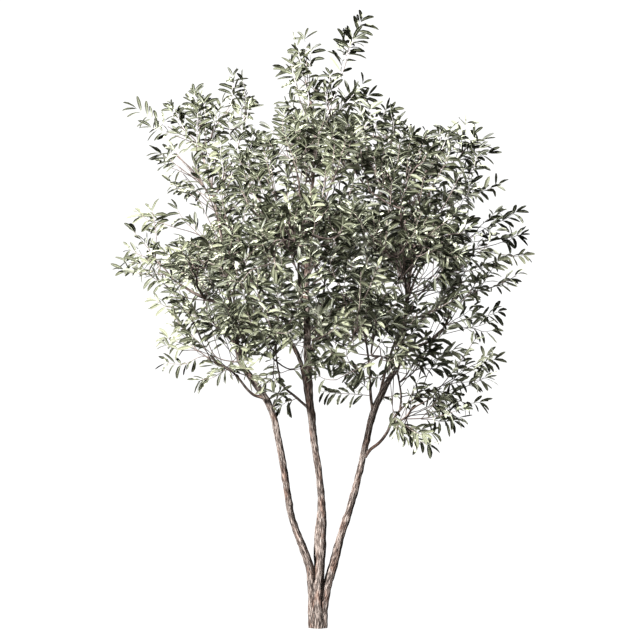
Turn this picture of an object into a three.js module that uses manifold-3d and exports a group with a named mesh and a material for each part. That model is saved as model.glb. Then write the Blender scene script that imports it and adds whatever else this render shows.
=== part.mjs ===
// A young multi-stemmed olive tree, three metres tall, in millimetres, +Z up.
// The origin is the middle of the flat cut under the trunk, at ground level.
// Four stems fuse into one short foot. They and their boughs are tapering limbs
// that carry uneven foliage masses. Looking along +Y, +X is to the right.
import * as THREE from 'three';
import { mergeVertices } from 'three/addons/utils/BufferGeometryUtils.js';
import Module from 'manifold-3d';

const wasm = await Module();
wasm.setup();

// Driving dimensions.
const FOOT_TOP = 235;
const CLEARANCE = 0.3;
const STEM_SIDES = 6;
const BOUGH_SIDES = 5;
const RINGS_PER_SPAN = 1;
const MASS_DETAIL = 2;
const SLIM_MASS_DETAIL = 1;
const SLIM_HALF_HEIGHT = 142;
const SLIM_HALF_WIDTH = 151;
const MASS_UNEVENNESS = 0.14;
const SLIM_MASS_UNEVENNESS = 0.08;
const REACH = 5000;

const colours = {
  stem: '#8b7a6e',
  bough: '#5d524b',
  foot: '#83736a',
  leaf: ['#8d9279', '#7f856c', '#9aa087', '#727862'],
};

// Each stem runs up from just below the ground cut as [x, y, z, thickness].
const stems = {
  stem_left: [
    [-25, -2, -20, 40], [-31, -5, 210, 38], [-36, -6, 280, 40], [-70, -10, 381, 37],
    [-126, -15, 535, 31], [-155, -20, 710, 31], [-181, -30, 867, 30], [-241, -50, 1096, 31],
    [-309, -60, 1198, 30], [-371, -70, 1290, 28], [-395, -80, 1425, 21], [-433, -80, 1642, 17],
    [-463, -60, 1885, 14], [-514, -30, 2128, 9], [-575, 0, 2350, 6],
  ],
  stem_middle: [
    [2, -10, -20, 40], [8, -14, 240, 43], [20, -22, 404, 38], [22, -30, 575, 35],
    [10, -35, 721, 31], [-18, -45, 916, 33], [-43, -50, 1158, 37], [-51, -45, 1401, 33],
    [-55, -30, 1643, 26], [-43, -10, 1887, 20], [-28, 10, 2131, 16], [-14, 20, 2376, 12],
    [-50, 20, 2660, 7],
  ],
  stem_right: [
    [22, 0, -20, 42], [44, 4, 182, 45], [81, 10, 320, 42], [108, 15, 426, 36],
    [157, 25, 579, 34], [201, 35, 740, 32], [236, 45, 895, 30], [275, 60, 1051, 33],
    [340, 75, 1188, 29], [404, 85, 1301, 25], [419, 90, 1424, 21], [448, 90, 1670, 17],
    [468, 80, 1891, 14], [520, 50, 2200, 8],
  ],
  stem_back: [
    [2, 16, -20, 32], [-1, 38, 216, 30], [-4, 68, 405, 28], [13, 105, 611, 26],
    [1, 130, 756, 24], [-54, 210, 1124, 22], [-90, 260, 1297, 20], [-207, 340, 1508, 16],
    [-253, 380, 1675, 14], [-274, 410, 1900, 8],
  ],
};

// Each bough names the limb it grows from, then runs outward as [x, y, z, thickness].
const boughs = {
  bough_low_left: ['stem_left', [
    [-262, -54, 1122, 15], [-308, -70, 1135, 13], [-341, -90, 1165, 12], [-379, -110, 1214, 11],
    [-426, -125, 1262, 9], [-510, -135, 1300, 7],
  ]],
  bough_left: ['stem_left', [
    [-419, -80, 1546, 15], [-481, -90, 1579, 17], [-567, -110, 1613, 16], [-680, -125, 1680, 11],
  ]],
  bough_left_front: ['bough_left', [
    [-545, -108, 1605, 11], [-575, -180, 1660, 10], [-560, -300, 1760, 7],
  ]],
  bough_left_rear: ['stem_left', [
    [-395, -75, 1377, 14], [-446, -20, 1429, 12], [-509, 90, 1480, 10], [-560, 230, 1560, 7],
  ]],
  bough_upper_left: ['stem_left', [
    [-500, -45, 2065, 10], [-552, -50, 2143, 9], [-602, -60, 2217, 7], [-680, -60, 2290, 6],
  ]],
  bough_low_middle: ['stem_middle', [
    [-40, -50, 1066, 13], [-101, -60, 1120, 12], [-173, -80, 1189, 10], [-192, -95, 1266, 8],
    [-206, -150, 1400, 7],
  ]],
  bough_front: ['stem_middle', [
    [-51, -42, 1480, 16], [-75, -130, 1590, 14], [-90, -330, 1760, 11], [-80, -440, 1850, 8],
  ]],
  bough_top: ['stem_middle', [
    [-19, 18, 2327, 10], [40, 5, 2481, 8], [93, -5, 2616, 7], [140, -10, 2780, 5],
  ]],
  bough_back: ['stem_back', [
    [-70, 235, 1205, 16], [-20, 330, 1400, 14], [30, 450, 1640, 11], [40, 560, 1800, 8],
  ]],
  bough_back_left: ['stem_back', [
    [-235, 362, 1600, 11], [-340, 420, 1700, 10], [-440, 470, 1780, 7],
  ]],
  bough_low_right: ['stem_right', [
    [231, 41, 831, 17], [260, 20, 868, 15], [298, 5, 898, 14], [332, -15, 943, 14],
    [360, -30, 1002, 12], [403, -50, 1066, 10], [470, -80, 1120, 8],
  ]],
  bough_low_right_out: ['bough_low_right', [
    [360, -30, 990, 10], [417, -70, 1022, 9], [459, -110, 1072, 8], [540, -150, 1120, 7],
  ]],
  bough_low_right_rise: ['bough_low_right', [
    [398, -50, 1057, 10], [403, -62, 1125, 9], [385, -90, 1240, 8], [370, -160, 1400, 6],
  ]],
  bough_right_inner: ['stem_right', [
    [271, 56, 1037, 15], [258, 40, 1145, 13], [255, 20, 1229, 12], [240, -60, 1350, 10],
    [215, -200, 1460, 8],
  ]],
  bough_right: ['stem_right', [
    [409, 85, 1316, 17], [457, 70, 1355, 16], [539, 40, 1390, 14], [601, 20, 1439, 12],
    [650, 0, 1540, 10],
  ]],
  bough_right_front: ['stem_right', [
    [425, 88, 1470, 14], [430, -10, 1580, 13], [410, -240, 1740, 10], [400, -370, 1830, 8],
  ]],
  bough_right_rear: ['stem_right', [
    [300, 66, 1110, 15], [340, 180, 1260, 13], [420, 310, 1480, 11], [470, 400, 1680, 8],
  ]],
  bough_right_fork: ['stem_right', [
    [448, 90, 1616, 12], [500, 105, 1740, 10], [570, 100, 1820, 9], [680, 90, 1870, 7],
  ]],
};

// Each foliage mass is [centre], [half width, half depth, half height], lean in degrees to +X.
// The slim ones at the crown's tips, and the hearts hidden inside it, are balls of fewer faces.
const masses = {
  top_shoot: [[168, -10, 2864], [82, 80, 140], 22],
  top_left: [[-98, 10, 2748], [108, 120, 168], 8],
  top_middle: [[58, 10, 2588], [150, 170, 165], 0],
  top_right: [[286, 10, 2452], [150, 185, 165], 6],
  upper_left_tip: [[-392, 20, 2552], [104, 130, 196], 4],
  upper_left: [[-610, 10, 2460], [152, 170, 182], -6],
  far_left_tip: [[-838, -10, 2480], [112, 80, 72], 8],
  left_shoulder: [[-715, -60, 2262], [142, 130, 102], -6],
  left: [[-765, -30, 1965], [172, 200, 118], 6],
  left_low: [[-800, -60, 1752], [198, 200, 122], -5],
  left_bottom: [[-575, -100, 1394], [212, 230, 188], 0],
  right_upper: [[672, 20, 2336], [192, 230, 134], 4],
  right_shoulder: [[795, 0, 2180], [136, 170, 118], 6],
  right: [[900, 0, 1955], [150, 170, 116], 0],
  right_low: [[846, 10, 1745], [204, 205, 128], 4],
  right_under: [[722, 30, 1490], [215, 200, 140], 0],
  right_bottom: [[712, -20, 1300], [228, 190, 108], 4],
  low_right: [[600, -90, 1112], [240, 190, 112], 4],
  lowest: [[500, -75, 924], [122, 118, 106], 12],
  front_top: [[-20, -270, 2290], [290, 240, 240], 0],
  front_left_upper: [[-410, -330, 2110], [240, 230, 195], 0],
  front_right_upper: [[430, -320, 2200], [250, 240, 215], 0],
  front_middle: [[-20, -620, 1910], [280, 260, 220], 0],
  front_left: [[-500, -500, 1790], [260, 270, 205], 0],
  front_right: [[440, -560, 1850], [275, 270, 215], 0],
  front_low_left: [[-270, -340, 1440], [218, 240, 198], 0],
  front_low_right: [[222, -320, 1418], [248, 250, 218], 0],
  back_top: [[60, 310, 2300], [270, 250, 240], 0],
  back_left_upper: [[-420, 330, 2160], [250, 250, 215], 0],
  back_right_upper: [[470, 330, 2190], [255, 240, 215], 0],
  back_middle: [[0, 650, 1880], [290, 275, 225], 0],
  back_left: [[-500, 520, 1800], [275, 270, 215], 0],
  back_right: [[510, 520, 1820], [285, 280, 225], 0],
  back_low: [[60, 385, 1450], [330, 260, 200], 0],
  heart_left: [[-440, -20, 1850], [230, 240, 250], 0],
  heart_right: [[450, 30, 1800], [240, 250, 280], 0],
  heart_middle: [[-20, 10, 1900], [240, 260, 300], 0],
};

// A closed three.js geometry as a solid: only the positions are kept, and shared corners merge.
function solidFrom(geometry) {
  geometry.deleteAttribute('normal');
  geometry.deleteAttribute('uv');
  const merged = mergeVertices(geometry, 1e-3);
  const mesh = new wasm.Mesh({
    numProp: 3,
    vertProperties: new Float32Array(merged.attributes.position.array),
    triVerts: new Uint32Array(merged.index.array),
  });
  return new wasm.Manifold(mesh);
}

// A solid back as a three.js geometry with flat faces.
function geometryFrom(solid) {
  const mesh = solid.getMesh();
  const geometry = new THREE.BufferGeometry();
  geometry.setAttribute('position', new THREE.BufferAttribute(mesh.vertProperties, 3));
  geometry.setIndex(new THREE.BufferAttribute(mesh.triVerts, 1));
  geometry.computeVertexNormals();
  return geometry;
}

// A tapering limb along a smooth curve through its stations, grown by a clearance.
function limbSolid(stations, sides, grow = 0) {
  const points = stations.map(([x, y, z]) => new THREE.Vector3(x, y, z));
  const curve = new THREE.CatmullRomCurve3(points, false, 'centripetal');
  const spans = stations.length - 1;
  const rings = Math.ceil(spans * RINGS_PER_SPAN);
  const frames = curve.computeFrenetFrames(rings, false);
  const geometry = new THREE.CylinderGeometry(1, 1, rings, sides, rings);
  const position = geometry.attributes.position;
  for (let i = 0; i < position.count; i += 1) {
    const ring = Math.round(position.getY(i) + rings / 2);
    const along = curve.getUtoTmapping(ring / rings, 0) * spans;
    const span = Math.min(Math.floor(along), spans - 1);
    const thickness = THREE.MathUtils.lerp(stations[span][3], stations[span + 1][3], along - span);
    const radius = thickness / 2 + grow;
    const point = curve.getPointAt(ring / rings);
    point.addScaledVector(frames.binormals[ring], position.getX(i) * radius);
    point.addScaledVector(frames.normals[ring], position.getZ(i) * radius);
    if (ring === 0) point.addScaledVector(frames.tangents[0], -grow);
    if (ring === rings) point.addScaledVector(frames.tangents[rings], grow);
    position.setXYZ(i, point.x, point.y, point.z);
  }
  return solidFrom(geometry);
}

// Everything on the far side of a plane: a large box whose near face is the plane.
function farSide(point, direction) {
  const box = new THREE.BoxGeometry(REACH, REACH, REACH);
  box.translate(0, 0, REACH / 2);
  const turn = new THREE.Quaternion().setFromUnitVectors(new THREE.Vector3(0, 0, 1), direction);
  box.applyQuaternion(turn);
  box.translate(point.x, point.y, point.z);
  return solidFrom(box);
}

// A repeatable stream of numbers from 0 to 1.
function stream(seed) {
  let state = seed;
  return () => {
    state = (state * 16807) % 2147483647;
    return state / 2147483647;
  };
}

// An uneven rounded mass: a ball pushed in and out by a few broad waves, then stretched and leant.
function massSolid(name, seed) {
  const [centre, half, lean] = masses[name];
  const thin = half[0] < SLIM_HALF_WIDTH || half[2] < SLIM_HALF_HEIGHT;
  const slim = thin || name.startsWith('heart');
  const detail = slim ? SLIM_MASS_DETAIL : MASS_DETAIL;
  const unevenness = slim ? SLIM_MASS_UNEVENNESS : MASS_UNEVENNESS;
  const next = stream(seed);
  const waves = [];
  for (let i = 0; i < 5; i += 1) {
    const heading = new THREE.Vector3(next() - 0.5, next() - 0.5, next() - 0.5).normalize();
    waves.push({ heading, pace: 2.5 + 3.5 * next(), start: 6.283 * next() });
  }
  const ball = new THREE.IcosahedronGeometry(1, detail);
  const position = ball.attributes.position;
  const spot = new THREE.Vector3();
  for (let i = 0; i < position.count; i += 1) {
    spot.fromBufferAttribute(position, i).normalize();
    let swell = 1;
    for (const wave of waves) {
      swell += unevenness * Math.sin(wave.pace * wave.heading.dot(spot) * 2 + wave.start) / 2;
    }
    spot.multiplyScalar(swell);
    position.setXYZ(i, spot.x, spot.y, spot.z);
  }
  ball.scale(half[0], half[1], half[2]);
  ball.rotateY(THREE.MathUtils.degToRad(lean));
  ball.translate(centre[0], centre[1], centre[2]);
  return solidFrom(ball);
}

// How far an ellipsoid's surface lies from its centre in one direction.
function surfaceDistance(half, direction) {
  const x = direction.x / half[0];
  const y = direction.y / half[1];
  const z = direction.z / half[2];
  return 1 / Math.sqrt(x * x + y * y + z * z);
}

// Trims a mass by the planes it shares with the neighbours that reach into it.
function trimByNeighbours(name) {
  const [centre, half] = masses[name];
  const here = new THREE.Vector3(...centre);
  let trimmed = wholeMasses[name];
  for (const [other, [otherCentre, otherHalf]] of Object.entries(masses)) {
    if (other === name) continue;
    if (wholeMasses[name].intersect(wholeMasses[other]).volume() === 0) continue;
    const step = new THREE.Vector3(...otherCentre).sub(here);
    const distance = step.length();
    const direction = step.normalize();
    const mine = surfaceDistance(half, direction);
    const theirs = surfaceDistance(otherHalf, direction);
    const share = distance * mine / (mine + theirs) - CLEARANCE / 2;
    const point = here.clone().addScaledVector(direction, share);
    trimmed = trimmed.subtract(farSide(point, direction));
  }
  return trimmed;
}

const stemSolids = {};
const stemCuts = {};
for (const [name, stations] of Object.entries(stems)) {
  stemSolids[name] = limbSolid(stations, STEM_SIDES);
  stemCuts[name] = limbSolid(stations, STEM_SIDES, CLEARANCE);
}

// The foot joins the four stems' lowest parts, cut flat at the ground and at its top.
const ground = new THREE.Vector3(0, 0, 0);
const footTop = new THREE.Vector3(0, 0, FOOT_TOP);
const up = new THREE.Vector3(0, 0, 1);
const down = new THREE.Vector3(0, 0, -1);
let foot = stemSolids.stem_left;
for (const name of ['stem_middle', 'stem_right', 'stem_back']) {
  foot = foot.add(stemSolids[name]);
}
foot = foot.subtract(farSide(footTop, up)).subtract(farSide(ground, down));
const pieces = { trunk_foot: { solid: foot, colour: colours.foot } };

// Above the foot each stem stands alone; where two still lean together the later one gives way.
const footLid = new THREE.Vector3(0, 0, FOOT_TOP + CLEARANCE);
const placed = [];
for (const name of ['stem_middle', 'stem_left', 'stem_right', 'stem_back']) {
  let solid = stemSolids[name].subtract(farSide(footLid, down));
  for (const earlier of placed) {
    solid = solid.subtract(stemCuts[earlier]);
  }
  placed.push(name);
  pieces[name] = { solid, colour: colours.stem };
}

// Every bough starts inside the limb it grows from and is cut back to that limb's surface.
const limbCuts = { ...stemCuts };
for (const [name, [parent, stations]] of Object.entries(boughs)) {
  const solid = limbSolid(stations, BOUGH_SIDES).subtract(limbCuts[parent]);
  limbCuts[name] = limbSolid(stations, BOUGH_SIDES, CLEARANCE);
  pieces[name] = { solid, colour: colours.bough };
}

// The foliage masses, trimmed against each other and cut round the limbs inside them.
const wholeMasses = {};
let seed = 11;
for (const name of Object.keys(masses)) {
  seed += 37;
  wholeMasses[name] = massSolid(name, seed);
}
let shade = 0;
for (const name of Object.keys(masses)) {
  shade = (shade + 1) % colours.leaf.length;
  let solid = trimByNeighbours(name);
  for (const cut of Object.values(limbCuts)) {
    solid = solid.subtract(cut);
  }
  pieces[`foliage_${name}`] = { solid, colour: colours.leaf[shade] };
}

const tree = new THREE.Group();
for (const [name, { solid, colour }] of Object.entries(pieces)) {
  const roughness = name.startsWith('foliage') ? 0.6 : 0.85;
  const material = new THREE.MeshStandardMaterial({ color: colour, roughness, metalness: 0 });
  const mesh = new THREE.Mesh(geometryFrom(solid), material);
  mesh.name = name;
  tree.add(mesh);
}

export default tree;
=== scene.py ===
import bpy
import numpy as np
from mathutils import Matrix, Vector
from mathutils.bvhtree import BVHTree


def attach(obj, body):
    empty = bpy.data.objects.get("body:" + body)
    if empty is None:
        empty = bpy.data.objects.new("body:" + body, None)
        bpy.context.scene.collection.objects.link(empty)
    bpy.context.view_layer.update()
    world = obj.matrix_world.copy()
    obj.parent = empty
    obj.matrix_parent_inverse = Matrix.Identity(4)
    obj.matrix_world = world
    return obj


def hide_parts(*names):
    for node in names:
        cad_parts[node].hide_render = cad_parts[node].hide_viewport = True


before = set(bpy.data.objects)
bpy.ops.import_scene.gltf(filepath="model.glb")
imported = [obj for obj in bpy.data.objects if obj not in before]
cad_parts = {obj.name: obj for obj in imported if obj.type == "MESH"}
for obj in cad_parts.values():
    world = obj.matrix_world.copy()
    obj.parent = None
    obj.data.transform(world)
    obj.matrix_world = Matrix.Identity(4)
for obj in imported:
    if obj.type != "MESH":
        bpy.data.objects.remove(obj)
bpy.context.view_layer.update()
scene = bpy.context.scene

MM = 0.001
UP = np.array([0.0, 0.0, 1.0])
FOOT_TOP = 0.235

# Limbs as in the frame: the limb each grows from, then its stations as x, y, z, thickness in mm.
LIMBS = {
    "stem_middle": (None, [
        (2, -10, 0, 41), (8, -14, 240, 43), (20, -22, 404, 38), (22, -30, 575, 35),
        (10, -35, 721, 31), (-18, -45, 916, 33), (-43, -50, 1158, 37), (-51, -45, 1401, 33),
        (-55, -30, 1643, 26), (-43, -10, 1887, 20), (-28, 10, 2131, 16), (-14, 20, 2376, 12),
        (-50, 20, 2660, 6)]),
    "stem_left": (None, [
        (-25, -2, 0, 41), (-31, -5, 210, 38), (-36, -6, 280, 40), (-70, -10, 381, 37),
        (-126, -15, 535, 31), (-155, -20, 710, 31), (-181, -30, 867, 30), (-241, -50, 1096, 31),
        (-309, -60, 1198, 30), (-371, -70, 1290, 28), (-395, -80, 1425, 21),
        (-433, -80, 1642, 17), (-463, -60, 1885, 14), (-514, -30, 2128, 9), (-575, 0, 2350, 6)]),
    "stem_right": (None, [
        (22, 0, 0, 43), (44, 4, 182, 45), (81, 10, 320, 42), (108, 15, 426, 36),
        (157, 25, 579, 34), (201, 35, 740, 32), (236, 45, 895, 30), (275, 60, 1051, 33),
        (340, 75, 1188, 29), (404, 85, 1301, 25), (419, 90, 1424, 21), (448, 90, 1670, 17),
        (468, 80, 1891, 14), (520, 50, 2200, 7)]),
    "stem_back": (None, [
        (2, 17, 0, 32), (-1, 38, 216, 30), (-4, 68, 405, 28), (13, 105, 611, 26),
        (1, 130, 756, 24), (-54, 210, 1124, 22), (-90, 260, 1297, 20), (-207, 340, 1508, 16),
        (-253, 380, 1675, 14), (-274, 410, 1900, 7)]),
    "bough_low_left": ("stem_left", [
        (-262, -54, 1122, 15), (-308, -70, 1135, 13), (-341, -90, 1165, 12),
        (-379, -110, 1214, 11), (-426, -125, 1262, 9), (-510, -135, 1300, 6)]),
    "bough_left": ("stem_left", [
        (-419, -80, 1546, 15), (-481, -90, 1579, 17), (-567, -110, 1613, 16),
        (-680, -125, 1680, 9)]),
    "bough_left_front": ("bough_left", [
        (-545, -108, 1605, 11), (-575, -180, 1660, 10), (-560, -300, 1760, 6)]),
    "bough_left_rear": ("stem_left", [
        (-395, -75, 1377, 14), (-446, -20, 1429, 12), (-509, 90, 1480, 10),
        (-560, 230, 1560, 6)]),
    "bough_upper_left": ("stem_left", [
        (-500, -45, 2065, 9), (-552, -50, 2143, 9), (-602, -60, 2217, 7), (-680, -60, 2290, 5)]),
    "bough_low_middle": ("stem_middle", [
        (-40, -50, 1066, 13), (-101, -60, 1120, 12), (-173, -80, 1189, 10),
        (-192, -95, 1266, 8), (-206, -150, 1400, 5)]),
    "bough_front": ("stem_middle", [
        (-51, -42, 1480, 16), (-75, -130, 1590, 14), (-90, -330, 1760, 11),
        (-80, -440, 1850, 6)]),
    "bough_top": ("stem_middle", [
        (-19, 18, 2327, 9), (40, 5, 2481, 8), (93, -5, 2616, 7), (140, -10, 2780, 4)]),
    "bough_back": ("stem_back", [
        (-70, 235, 1205, 16), (-20, 330, 1400, 14), (30, 450, 1640, 11), (40, 560, 1800, 6)]),
    "bough_back_left": ("stem_back", [
        (-235, 362, 1600, 11), (-340, 420, 1700, 10), (-440, 470, 1780, 6)]),
    "bough_low_right": ("stem_right", [
        (231, 41, 831, 17), (260, 20, 868, 15), (298, 5, 898, 14), (332, -15, 943, 14),
        (360, -30, 1002, 12), (403, -50, 1066, 10), (470, -80, 1120, 6)]),
    "bough_low_right_out": ("bough_low_right", [
        (360, -30, 990, 10), (417, -70, 1022, 9), (459, -110, 1072, 8), (540, -150, 1120, 5)]),
    "bough_low_right_rise": ("bough_low_right", [
        (398, -50, 1057, 9), (403, -62, 1125, 9), (385, -90, 1240, 8), (370, -160, 1400, 5)]),
    "bough_right_inner": ("stem_right", [
        (271, 56, 1037, 15), (258, 40, 1145, 13), (255, 20, 1229, 12), (240, -60, 1350, 10),
        (215, -200, 1460, 6)]),
    "bough_right": ("stem_right", [
        (409, 85, 1316, 17), (457, 70, 1355, 16), (539, 40, 1390, 14), (601, 20, 1439, 12),
        (650, 0, 1540, 8)]),
    "bough_right_front": ("stem_right", [
        (425, 88, 1470, 14), (430, -10, 1580, 13), (410, -240, 1740, 10), (400, -370, 1830, 6)]),
    "bough_right_rear": ("stem_right", [
        (300, 66, 1110, 15), (340, 180, 1260, 13), (420, 310, 1480, 11), (470, 400, 1680, 6)]),
    "bough_right_fork": ("stem_right", [
        (448, 90, 1616, 12), (500, 105, 1740, 10), (570, 100, 1820, 9), (680, 90, 1870, 5)]),
}

# How thickly each foliage mass is set with leafy shoots, where it differs from the rest.
FULLNESS = {
    "heart_left": 0.8, "heart_middle": 0.85, "heart_right": 0.85,
    "back_top": 0.65, "back_left_upper": 0.35, "back_right_upper": 0.65,
    "back_middle": 0.7, "back_left": 0.6, "back_right": 0.7, "back_low": 0.7,
    "front_left_upper": 0.6, "front_top": 0.85, "front_right_upper": 0.85,
    "front_middle": 0.85, "front_left": 0.9, "front_right": 0.8,
    "front_low_left": 0.85, "front_low_right": 0.8,
    "upper_left": 1.0, "upper_left_tip": 1.0, "left": 0.3, "left_low": 0.5,
    "left_shoulder": 0.1, "left_bottom": 0.55, "top_left": 0.6, "top_middle": 0.65,
    "top_right": 0.9, "right": 0.35, "right_low": 0.5, "right_shoulder": 0.1,
    "right_upper": 0.85, "right_under": 0.45, "right_bottom": 0.6, "low_right": 0.5,
    "lowest": 0.2, "top_shoot": 0.3, "far_left_tip": 0.6,
}
# How many are tried in a cubic metre, how far apart they keep and how deep in the crown they lie.
SHOOT_SCATTER = {"per_cubic_metre": 900, "spacing": 0.065, "least": 0.65, "seed": 31}
FILLER_SCATTER = {"per_cubic_metre": 500, "spacing": 0.075, "least": 0.9, "seed": 32}
LEADER_SEED, EDGE_SEED, TWIG_SEED, LOW_SEED, LEAF_SEED = 7, 8, 9, 10, 11

# Where one looks right through the crown from the front: x, z, half width and half height in mm.
GAPS = np.array([
    (-656, 2247, 55, 75), (-301, 2666, 55, 90), (-199, 2170, 30, 30), (561, 1741, 46, 60),
    (-155, 1285, 48, 45), (35, 1215, 55, 35), (-642, 2043, 46, 42), (839, 2085, 30, 25),
    (120, 1040, 120, 45), (-440, 1135, 140, 75), (-60, 1150, 50, 50), (-170, 2340, 30, 30),
    (-550, 2100, 35, 40), (-630, 1930, 35, 35), (-600, 1330, 50, 50), (285, 920, 70, 140),
    (330, 860, 60, 60), (-850, 1560, 45, 45), (830, 1450, 40, 35), (-560, 1990, 30, 40),
    (-832, 2110, 50, 45), (-940, 2310, 60, 70), (-930, 1600, 50, 50),
]) / 1000

# Places, as seen from the front, where scattered shoots are thinned out: x, z and radius in mm.
PRUNED = np.array([
    (54, 1162, 60), (244, 1098, 30), (-627, 1171, 30), (761, 1098, 50), (-647, 1458, 20),
    (736, 1785, 30), (853, 2233, 55), (-876, 1590, 45), (-418, 1400, 50), (-470, 1360, 40),
    (-817, 1546, 35), (-817, 1449, 35), (-573, 1449, 35), (-524, 1351, 35), (-817, 1936, 35),
    (-622, 2179, 40), (-622, 2520, 35), (-427, 2179, 40), (-427, 2617, 35), (-135, 2325, 50),
    (-38, 2715, 35), (59, 1936, 50), (449, 1741, 65), (254, 1351, 50), (839, 1546, 35),
    (741, 1449, 35), (-135, 1254, 40), (-914, 1741, 30), (-524, 1985, 50), (-306, 1215, 50),
    (532, 903, 35), (741, 1156, 35), (449, 1254, 35), (303, 1254, 35), (352, 1546, 30),
    (-573, 1930, 30), (-622, 2252, 30), (-525, 2204, 30), (-622, 2130, 30), (-428, 2252, 30),
    (-720, 1838, 30), (-87, 1239, 30), (-330, 1449, 30), (352, 1254, 30), (-670, 2530, 25),
    (-622, 1459, 30), (-574, 2200, 35), (-476, 2160, 25),
]) / 1000

# Small shoots low on the limbs: the limb, the height where each starts, its heading and length,
# and the foliage mass that it is counted with.
LOW_SHOOTS = [
    ("stem_left", 1.060, (0.35, -0.2, 0.75), 0.10, "left_bottom"),
    ("bough_low_middle", 1.135, (-0.75, -0.3, 0.12), 0.13, "front_low_left"),
    ("bough_low_middle", 1.120, (-0.5, 0.4, -0.25), 0.10, "front_low_left"),
    ("bough_right_inner", 1.125, (-0.97, -0.15, 0.10), 0.26, "front_low_right"),
    ("bough_right_inner", 1.190, (-0.85, -0.2, 0.45), 0.20, "front_low_right"),
    ("bough_right_inner", 1.150, (-0.75, -0.3, 0.65), 0.22, "front_low_right"),
    ("stem_right", 1.120, (0.7, -0.4, 0.1), 0.09, "front_low_right"),
    ("bough_top", 2.780, (0.38, 0.0, 0.90), 0.18, "top_shoot"),
    ("bough_top", 2.660, (0.1, 0.2, 0.95), 0.20, "top_shoot"),
]

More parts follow.
